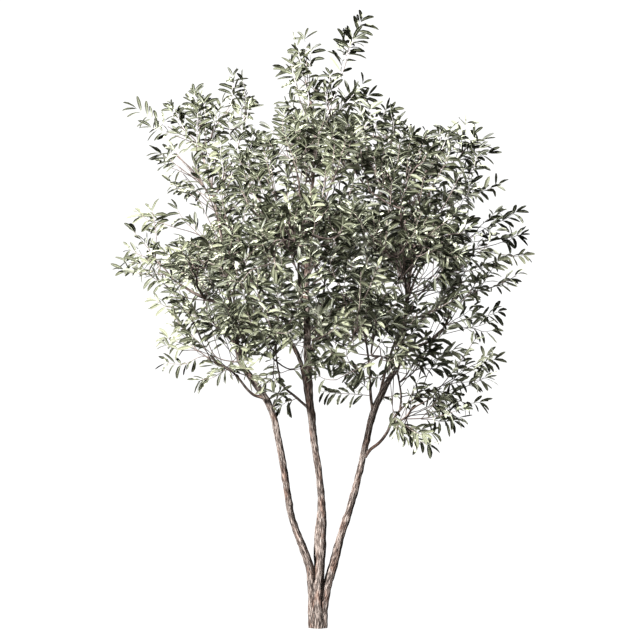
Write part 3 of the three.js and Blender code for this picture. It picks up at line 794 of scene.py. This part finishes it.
def room_ahead(place, heading, most=0.3, step=0.02):
    """How far one can go from a place before leaving the crown."""
    gone = 0.0
    while gone < most and depth_inside(crown_tree, place + heading * (gone + step)) > -0.004:
        gone += step
    return gone


def crown_field(place):
    """How far a place is into the crown, gaps between masses filled in, and its own mass."""
    total, own, deepest = 0.0, None, -np.inf
    for name, (tree, _) in mass_trees.items():
        low, high = mass_boxes[name]
        if np.any(place < low - BLEND_REACH) or np.any(place > high + BLEND_REACH):
            continue
        depth = depth_inside(tree, place)
        total += np.exp(min(depth, DEEP_ENOUGH) / BLEND_DEPTH)
        if depth > deepest:
            own, deepest = name, depth
    return total, own


def seen_from_front(places):
    """Where places appear in the upright plane through the origin: x and z."""
    eye = np.array(scene.camera.location)
    places = np.asarray(places)
    scale = eye[1] / (eye[1] - places[..., 1])
    across = eye[0] + (places[..., 0] - eye[0]) * scale
    return across, eye[2] + (places[..., 2] - eye[2]) * scale


def is_pruned(place):
    """Whether a shoot's tip lies where the shoots are thinned out."""
    across, height = seen_from_front(place)
    return bool(np.any(np.hypot(across - PRUNED[:, 0], height - PRUNED[:, 1]) < PRUNED[:, 2]))


def in_gap(places):
    """Which places lie where one looks through the crown from the front and sees the sky."""
    across, height = seen_from_front(places)
    inside = np.zeros(np.shape(across), bool)
    for x, z, wide, tall in GAPS:
        inside |= ((across - x) / wide) ** 2 + ((height - z) / tall) ** 2 < 1
    return inside


def scatter_in_crown(fullness, per_cubic_metre, spacing, least, seed):
    """Places spread evenly in the crown, by how full each mass is to be: seed, place, mass."""
    own = np.random.default_rng(seed)
    low = np.min([box[0] for box in mass_boxes.values()], axis=0) - 0.05
    high = np.max([box[1] for box in mass_boxes.values()], axis=0) + 0.05
    tries = int(np.prod(high - low) * per_cubic_metre * 3)
    spots, lots = own.uniform(low, high, (tries, 3)), own.uniform(0, 3, tries)
    cells, found = {}, []
    for i in np.nonzero(lots < max(fullness.values(), default=1.0))[0]:
        place = spots[i]
        total, name = crown_field(place)
        if total < least or lots[i] > fullness.get(name, 1.0) or in_gap(place):
            continue
        apart = spacing * fullness.get(name, 1.0) ** (-1 / 3)
        cell = (place // CELL).astype(int)
        near = [other for step in np.ndindex(3, 3, 3)
                for other in cells.get(tuple(cell + step - 1), [])]
        if near and np.linalg.norm(np.array(near) - place, axis=1).min() < apart:
            continue
        cells.setdefault(tuple(cell), []).append(place)
        found.append(((seed, i), place, name))
    return found


# ---------------------------------------------------------------- leafy shoots

CROWN_HEART = np.array([0.0, 0.0, 1.4])
SHOOT_SOURCE = np.array([0.0, 0.0, 0.95])
SHOOT_LENGTHS, EDGE_LENGTHS = (0.16, 0.28), (0.2, 0.28)
LEAF_REACH = 0.055
LEAST_ROOM = 0.06
OPEN_SHARE = 0.4


def plan_shoots():
    """Each shoot's mass, base, tip, heading and seed: out from the heart and a little upward."""
    planned = []
    for seed, place, name in scatter_in_crown(FULLNESS, **SHOOT_SCATTER):
        own = np.random.default_rng(seed)
        heading = unit(unit(place - SHOOT_SOURCE) + 0.25 * UP + own.normal(0, 0.25, 3))
        length = own.uniform(*SHOOT_LENGTHS)
        room = room_ahead(place - LEAST_ROOM * heading, heading) - LEAST_ROOM
        tip = place + heading * min(0.5 * length, room - LEAF_REACH)
        base = tip - heading * length
        along = base + (tip - base) * np.linspace(0, 1, 6)[:, None]
        if in_gap(along).mean() < OPEN_SHARE and not is_pruned(tip):
            planned.append((name, base, tip, heading, seed))
    for name, *row in LEADERS:
        reach, heading, length = np.array(row[:3]) / 1000, unit(np.array(row[3:6]) / 100), row[6] / 1000
        seed = (LEADER_SEED, int(1000 * (reach[0] + 5)), int(1000 * reach[2]))
        tip = reach - LEAF_REACH * heading
        planned.append((name, tip - heading * length, tip, heading, seed))
    led = {row[0] for row in LEADERS}
    for i, (name, (_, points)) in enumerate(mass_trees.items()):
        if name.startswith("heart") or name in led:
            continue
        own = np.random.default_rng((EDGE_SEED, i))
        outward = unit(points.mean(0) - CROWN_HEART)
        furthest = points[np.argmax(points @ outward)]
        heading = unit(outward + 0.15 * UP + own.normal(0, 0.08, 3))
        tip = furthest - heading * LEAF_REACH
        base = tip - heading * own.uniform(*EDGE_LENGTHS)
        planned.append((name, base, tip, heading, (EDGE_SEED, i)))
    return planned


shoots = plan_shoots()


# ---------------------------------------------------------------- branching from limbs to shoots

# What it costs a twig to bend off a limb or a twig, to come in askew, to be far out, to grow
# inward, to reach further than the long step, and to cross a gap.
LIMB_BEND, TWIG_BEND, ASKEW, FAR_OUT, INWARD = 0.3, 0.7, 0.45, 0.45, 0.8
LONG_STEP, LONG_COST, GAP_COST = 0.14, 1.5, 0.15
ROOT_STRIDE, ROOT_DEPTH, ROOT_COST = 4, -0.03, 0.03
SHOOT_RADIUS, THIN_TWIG = 0.0017, 0.0025
PIPE_POWER = 2.3


def limb_roots():
    """Places on the limbs, inside or near the foliage, from which twigs may grow."""
    roots = []
    for points, limb_radii in limb_paths.values():
        tangents, _, _ = path_frames(points)
        last = len(points) - 1
        for i in range(0, last + 1, ROOT_STRIDE):
            i = last if i + ROOT_STRIDE > last else i
            if depth_inside(crown_tree, points[i]) < ROOT_DEPTH:
                continue
            roots.append((points[i], tangents[i], limb_radii[i], ROOT_COST * (i < last)))
    return [np.array(column) for column in zip(*roots)]


def grow_network():
    """Joins shoot bases and fillers to the limbs, nearest and straightest first."""
    roots, root_headings, root_radii, root_far = limb_roots()
    spread = scatter_in_crown({}, **FILLER_SCATTER)
    fillers = np.array([place for _, place, _ in spread])
    bases = np.array([base for _, base, _, _, _ in shoots])
    wishes = np.array([heading for _, _, _, heading, _ in shoots])
    targets = np.vstack([bases, fillers])
    target_wishes = np.vstack([wishes, unit(fillers - CROWN_HEART)])
    depth = np.linalg.norm(np.vstack([targets, roots]) - CROWN_HEART, axis=1)
    count = len(targets)
    places = np.vstack([targets, roots])
    headings = np.vstack([np.zeros_like(targets), root_headings])
    path_length = np.concatenate([np.zeros(count), root_far])
    best_cost = np.full(count, np.inf)
    best_parent = np.full(count, -1)

    def offer(node):
        """Lets every target that is not joined yet consider growing from this node."""
        steps = targets - places[node]
        gaps = np.linalg.norm(steps, axis=1)
        lines = steps / np.maximum(gaps, 1e-9)[:, None]
        bend = 1 - lines @ headings[node]
        arrive = 1 - np.einsum("ij,ij->i", lines, target_wishes)
        weight = LIMB_BEND if node >= count else TWIG_BEND
        inward = np.maximum(depth[node] - depth[:count], 0.0)
        cost = gaps * (1 + weight * bend + ASKEW * arrive) + FAR_OUT * path_length[node]
        cost = cost + INWARD * inward + LONG_COST * np.maximum(gaps - LONG_STEP, 0.0) + 0.004
        for way in (0.35, 0.7):
            cost = cost + GAP_COST * in_gap(places[node] + way * steps)
        better = cost < best_cost
        best_cost[better] = cost[better]
        best_parent[better] = node

    waiting = np.ones(count, bool)
    for root in range(count, len(places)):
        offer(root)
    for _ in range(count):
        chosen = int(np.argmin(np.where(waiting, best_cost, np.inf)))
        waiting[chosen] = False
        best_cost[chosen] = -1.0
        from_node = best_parent[chosen]
        step = places[chosen] - places[from_node]
        headings[chosen] = unit(0.75 * unit(step) + 0.25 * headings[from_node])
        path_length[chosen] = path_length[from_node] + np.linalg.norm(step)
        offer(chosen)
    return places, best_parent, len(bases), count, root_radii


node_places, node_parents, shoot_count, target_count, root_radii = grow_network()


def branch_radii():
    """Each node's children that lead on to shoots, and how thick each node is to carry them."""
    children = [[] for _ in range(len(node_places))]
    for node in range(target_count):
        children[node_parents[node]].append(node)
    area = np.zeros(len(node_places))
    area[:shoot_count] = SHOOT_RADIUS ** PIPE_POWER
    order, stack = [], list(range(target_count, len(node_places)))
    while stack:
        node = stack.pop()
        order.append(node)
        stack.extend(children[node])
    for node in reversed(order):
        if node < target_count:
            area[node_parents[node]] += area[node]
    alive = area > 0
    children = [[child for child in own if alive[child]] for own in children]
    return children, area ** (1 / PIPE_POWER)


node_children, node_radii = branch_radii()


def relax_network(rounds=5):
    """Draws each fork part of the way to the middle of its neighbours, which straightens twigs."""
    tips = np.array([tip for _, _, tip, _, _ in shoots])
    for _ in range(rounds):
        moved = node_places.copy()
        for node in range(target_count):
            if node_radii[node] == 0:
                continue
            onward = [node_places[child] for child in node_children[node]]
            if node < shoot_count:
                onward.append(tips[node])
            ahead = np.mean(onward, axis=0)
            middle = 0.5 * (node_places[node_parents[node]] + ahead)
            moved[node] = 0.5 * node_places[node] + 0.5 * middle
        node_places[:target_count] = moved[:target_count]


relax_network()


def straighten_shoots():
    """Moves the foot of each shoot that would double back to a place on the way to its tip."""
    for node, (_, _, tip, _, _) in enumerate(shoots):
        parent = node_places[node_parents[node]]
        arrival, onward = unit(node_places[node] - parent), unit(tip - node_places[node])
        if arrival @ onward < 0.6:
            node_places[node] = parent + 0.35 * (tip - parent)


straighten_shoots()


def limb_chains():
    """Runs of nodes from a limb or a fork out to a shoot, the thickest child carrying on."""
    chains, stack = [], []
    for root in range(target_count, len(node_places)):
        stack.extend((root, child) for child in node_children[root])
    while stack:
        parent, node = stack.pop()
        chain = [parent, node]
        while node_children[node]:
            keep = max(node_children[node], key=lambda child: node_radii[child])
            stack.extend((node, child) for child in node_children[node] if child != keep)
            chain.append(keep)
            node = keep
        chains.append(chain)
    return chains


def tube_block(points, radii, sides):
    """Points and faces of one closed tube."""
    _, across, beside = path_frames(points)
    turn = np.arange(sides) * 2 * np.pi / sides
    around = across[:, None] * np.cos(turn)[:, None] + beside[:, None] * np.sin(turn)[:, None]
    skin = (points[:, None] + around * radii[:, None, None]).reshape(-1, 3)
    rings = len(points)
    start = np.arange(rings - 1)[:, None] * sides
    here, following = np.arange(sides)[None, :], (np.arange(sides)[None, :] + 1) % sides
    quads = np.stack([start + here, start + following, start + sides + following,
                      start + sides + here], axis=-1).reshape(-1, 4)
    points_out = np.vstack([skin, points[:1], points[-1:]])
    first, last = len(skin), len(skin) + 1
    ends = [(first, (i + 1) % sides, i) for i in range(sides)]
    top = (rings - 1) * sides
    ends += [(last, top + i, top + (i + 1) % sides) for i in range(sides)]
    return points_out, quads, np.array(ends)


def tubes_piece(name, tubes, material):
    """One mesh of closed tubes, each given as its points, radii and number of sides."""
    skins, quads, ends = zip(*(tube_block(*tube) for tube in tubes))
    starts = np.cumsum([0] + [len(skin) for skin in skins[:-1]])
    faces = [np.concatenate([block + start for block, start in zip(blocks, starts)])
             for blocks in (quads, ends)]
    return mesh_piece(name, np.concatenate(skins), faces, [material])


# How the four upper tones, deepest first, are shared out among shoots, and the three under tones. Masses
# that sit in the light get paler tones as painted light, and masses that sit in shade get deeper tones as
# painted shade.
UNDER_SHARES = (0.4, 0.35, 0.25)
TONE_SHARES = (0.32, 0.34, 0.22, 0.12)
PAINTED_LIGHT_SHARES = (0.02, 0.12, 0.34, 0.52)
PAINTED_SHADE_SHARES = (0.52, 0.32, 0.12, 0.04)
PAINTED_LIGHT_MASSES = ("left_bottom", "low_right", "lowest", "right_bottom", "right_under", "right_low",
               "left_low", "front_low_left", "front_low_right", "back_low")
PAINTED_SHADE_MASSES = ("front_right_upper", "right_upper", "right_shoulder", "far_left_tip",
               "left_shoulder", "heart_right", "back_right_upper", "back_top", "top_left")
LEAF_SIZES = {"top_shoot": 1.2, "top_left": 1.12, "top_middle": 1.05, "top_right": 1.05,
              "far_left_tip": 1.05, "upper_left_tip": 1.05}
PALE_TIPPED = ("top_shoot", "top_left", "top_middle", "top_right", "far_left_tip",
               "upper_left_tip", "upper_left", "right_upper", "right_shoulder", "right")


def mass_of(place):
    """The foliage mass that a place is deepest in, or lies nearest to."""
    return max(mass_trees, key=lambda name: depth_inside(mass_trees[name][0], place))


def add_twigs():
    """Twigs from the limbs to the shoots, a mesh for each foliage mass."""
    twigs = {name: [] for name in mass_trees}
    for chain in limb_chains():
        places = node_places[chain]
        radii = np.array([node_radii[node] for node in chain])
        radii[0] = radii[1]
        if chain[0] >= target_count:
            radii[:2] = np.minimum(radii[:2], 0.85 * root_radii[chain[0] - target_count])
        stations = np.column_stack([places, radii])
        own_jitter = np.random.default_rng((TWIG_SEED, int(1e4 * abs(places[-1][0]))))
        stations[1:-1, :3] += own_jitter.normal(0, 0.004, (len(places), 3))[1:-1]
        points, thin = smooth_path(stations, 0.02)
        own = mass_of(places[len(places) // 2])
        twigs[own].append((points, thin, 6 if thin.max() > THIN_TWIG else 4))
    for name, tubes in twigs.items():
        if tubes:
            own_bark = shoot_bark if name in LEAF_SIZES else twig_bark
            piece = tubes_piece(f"twigs_{name}", tubes, own_bark)
            hand_over(piece, "bough_bark", f"foliage_{name}")


add_twigs()


# ---------------------------------------------------------------- leaves

LEAF_STATIONS = np.array([0.06, 0.3, 0.62, 0.87])
LEAF_HALF_WIDTHS = np.array([0.09, 0.43, 0.5, 0.33])
LEAF_LENGTH, LEAF_SLIMNESS, LEAF_GAP = 0.076, (0.2, 0.26), (0.026, 0.034)
LEAF_DROOP, LEAF_FOLD, LEAF_TWIST = (0.75, 0.3), (0.15, 0.55), (0, 0.4)
LOST_LEAVES = 0.04
LEAF_PARTS = 5
POINTS_PER_LEAF = 2 + LEAF_PARTS * len(LEAF_STATIONS)
RIM_LEFT, RIB_LEFT, RIB_RIGHT, RIM_RIGHT, KEEL = range(LEAF_PARTS)


def plan_leaf_faces():
    """One leaf's face corners, which part each face belongs to, and its creased edges."""
    tip, last = POINTS_PER_LEAF - 1, len(LEAF_STATIONS) - 1
    quads, corners, quad_parts, corner_parts, creases = [], [], [], [], set()

    def spot(station, part):
        return 1 + LEAF_PARTS * station + part % LEAF_PARTS

    for part in range(LEAF_PARTS):
        for k in range(last):
            quads.append((spot(k, part + 1), spot(k + 1, part + 1), spot(k + 1, part), spot(k, part)))
            quad_parts.append(part)
        corners.append((0, spot(0, part + 1), spot(0, part)))
        corners.append((spot(last, part + 1), tip, spot(last, part)))
        corner_parts += [part, part]
        run = [0] + [spot(k, part) for k in range(last + 1)] + [tip]
        creases.update(tuple(sorted(pair)) for pair in zip(run[:-1], run[1:]))
    return quads, corners, quad_parts, corner_parts, creases


LEAF_QUADS, LEAF_CORNERS, QUAD_PARTS, CORNER_PARTS, LEAF_CREASES = plan_leaf_faces()


def leaf_points(base, heading, normal, length, width, droop, fold, twist):
    """Every leaf's points at once: a narrow folded blade, whose tip hangs below its heading."""
    down = -UP - 0.3 * normal
    down = unit(down - heading * (heading * down).sum(1, keepdims=True))
    points = np.empty((len(base), POINTS_PER_LEAF, 3))
    points[:, 0] = base
    bend = np.where(np.abs(droop) < 1e-3, 1e-3, droop)
    for k, t in enumerate(np.append(LEAF_STATIONS, 1.0)):
        angle = bend * t
        run = (length * np.sin(angle) / bend)[:, None]
        fall = (length * (1 - np.cos(angle)) / bend)[:, None]
        centre = base + heading * run + down * fall
        if k == len(LEAF_STATIONS):
            points[:, -1] = centre
            break
        along = heading * np.cos(angle)[:, None] + down * np.sin(angle)[:, None]
        level = unit(normal - along * (normal * along).sum(1, keepdims=True))
        side = np.cross(level, along)
        lean = (twist * t)[:, None]
        across = side * np.cos(lean) + level * np.sin(lean)
        above = level * np.cos(lean) - side * np.sin(lean)
        half = (width * LEAF_HALF_WIDTHS[k])[:, None]
        trough = centre - above * half * fold[:, None]
        rib = np.minimum(0.0007 * (1.2 - t), 0.4 * half)
        first = 1 + LEAF_PARTS * k
        points[:, first + RIM_LEFT] = centre + across * half
        points[:, first + RIB_LEFT] = trough + across * rib + above * 0.0004
        points[:, first + RIB_RIGHT] = trough - across * rib + above * 0.0004
        points[:, first + RIM_RIGHT] = centre - across * half
        points[:, first + KEEL] = trough - above * 0.0009
    return points


def dress_shoot(points, leaves, tones, size, own):
    """Opposite pairs of leaves along a shoot, in a loose flat spray that looks out of the crown."""
    tangents, _, _ = path_frames(points)
    along = distance_along(points)
    spacing = size * own.uniform(*LEAF_GAP)
    stops = np.arange(along[-1] * 0.12 + own.uniform(0, 0.012), along[-1] - 0.008, spacing)
    size = size * own.uniform(0.9, 1.1)
    middle = points.mean(0)
    outlook = unit((middle - CROWN_HEART) * (1.0, 1.0, 0.0)) + (0.0, np.sign(middle[1] - 0.2), 0.0)
    outlook = unit(0.5 * outlook + own.normal(0, 0.35, 3))
    for j, stop in enumerate(list(stops) + [along[-1]]):
        at_tip = j == len(stops)
        share = stop / along[-1]
        i = min(int(np.searchsorted(along, stop)), len(points) - 1)
        across = unit(np.cross(tangents[i], outlook))
        above = np.cross(across, tangents[i])
        for half_turn in (0.0, np.pi):
            if own.uniform() < LOST_LEAVES:
                continue
            way = half_turn + own.normal(0, 0.5)
            outward = across * np.cos(way) + above * np.sin(way)
            spread = own.uniform(0.2, 0.55) if at_tip else own.uniform(0.6, 1.1)
            heading = unit(tangents[i] * np.cos(spread) + outward * np.sin(spread))
            facing = outlook + 0.35 * UP + own.normal(0, 0.5, 3)
            normal = unit(facing - heading * np.dot(facing, heading))
            young = 1.0 - 0.12 * (share > 0.9) - 0.2 * max(0.25 - share, 0) / 0.25
            length = LEAF_LENGTH * size * young * own.uniform(0.82, 1.14)
            if in_gap(points[i] + 0.5 * length * heading):
                continue
            leaves.append((
                points[i], heading, normal, length, length * own.uniform(*LEAF_SLIMNESS),
                own.normal(*LEAF_DROOP), own.uniform(*LEAF_FOLD), own.normal(*LEAF_TWIST), *tones))


def leaf_piece(name, leaves):
    """One mesh of all the leaves of a foliage mass, in their shoots' tones."""
    *blades, upper, under = (np.array(column) for column in zip(*leaves))
    points = leaf_points(*blades)
    offsets = (np.arange(len(leaves)) * POINTS_PER_LEAF)[:, None, None]
    quads = (np.array(LEAF_QUADS)[None] + offsets).reshape(-1, 4)
    corners = (np.array(LEAF_CORNERS)[None] + offsets).reshape(-1, 3)
    under = under + len(UPPER_TONES)
    rib = np.full(len(leaves), len(UPPER_TONES) + len(UNDER_TONES))
    by_part = np.stack([upper, rib, upper, under, under], axis=1)
    tones = np.concatenate([by_part[:, QUAD_PARTS].ravel(), by_part[:, CORNER_PARTS].ravel()])
    materials = UPPER_TONES + UNDER_TONES + [leaf_rib]
    piece = mesh_piece(name, points.reshape(-1, 3), [quads, corners], materials, tones)
    mesh = piece.data
    ends = np.empty(len(mesh.edges) * 2, np.int32)
    mesh.edges.foreach_get("vertices", ends)
    ends = np.sort(ends.reshape(-1, 2) % POINTS_PER_LEAF, axis=1)
    is_crease = np.zeros((POINTS_PER_LEAF, POINTS_PER_LEAF), bool)
    for low, high in LEAF_CREASES:
        is_crease[low, high] = True
    creases = mesh.attributes.new("sharp_edge", "BOOLEAN", "EDGE")
    creases.data.foreach_set("value", is_crease[ends[:, 0], ends[:, 1]])
    return piece


def shoot_path(base, tip, heading, arrival, own):
    """A shoot's own line: it sets off along its twig, then turns to its heading."""
    length = np.linalg.norm(tip - base)
    line = (tip - base) / length
    start = base + unit(0.35 * arrival + 0.65 * line) * 0.3 * length
    late = tip - unit(line + 0.6 * heading) * 0.35 * length
    late += own.normal(0, 0.004, 3) - 0.02 * length * UP
    stations = np.column_stack([[base, start, late, tip], [0.002, 0.0018, 0.0014, 0.001]])
    return smooth_path(stations, 0.014)


def shoot_lines():
    """Every shoot as mass, base, tip, heading, the way its twig arrives, and seed."""
    for node, (name, _, tip, heading, seed) in enumerate(shoots):
        base = node_places[node]
        yield name, base, tip, heading, unit(base - node_places[node_parents[node]]), seed
    for i, (limb, height, heading, length, name) in enumerate(LOW_SHOOTS):
        points, _ = limb_paths[limb]
        base = points[np.argmin(np.abs(points[:, 2] - height))]
        heading = unit(heading)
        yield name, base, base + heading * length, heading, heading, (LOW_SEED, i)


def add_shoots_and_leaves():
    """The leafy shoots of each foliage mass: their stalks in one mesh, their leaves in another."""
    stalks = {name: [] for name in mass_trees}
    leaves = {name: [] for name in mass_trees}
    for name, base, tip, heading, arrival, seed in shoot_lines():
        own = np.random.default_rng((LEAF_SEED, *seed))
        points, radii = shoot_path(base, tip, heading, arrival, own)
        stalks[name].append((points, radii, 4))
        # Painted light and shade: shoots of the lit masses take paler upper tones, and those of the shaded
        # masses take deeper ones.
        shares = PAINTED_LIGHT_SHARES if name in PAINTED_LIGHT_MASSES else TONE_SHARES
        shares = PAINTED_SHADE_SHARES if name in PAINTED_SHADE_MASSES else shares
        tones = (own.choice(4, p=shares), own.choice(3, p=UNDER_SHARES))
        dress_shoot(points, leaves[name], tones, LEAF_SIZES.get(name, 1.0), own)
    for name in mass_trees:
        own_bark = tip_bark if name in PALE_TIPPED else shoot_bark
        piece = tubes_piece(f"shoots_{name}", stalks[name], own_bark)
        hand_over(piece, "bough_bark", f"foliage_{name}")
        hand_over(leaf_piece(f"leaves_{name}", leaves[name]), "foliage", f"foliage_{name}")


add_shoots_and_leaves()
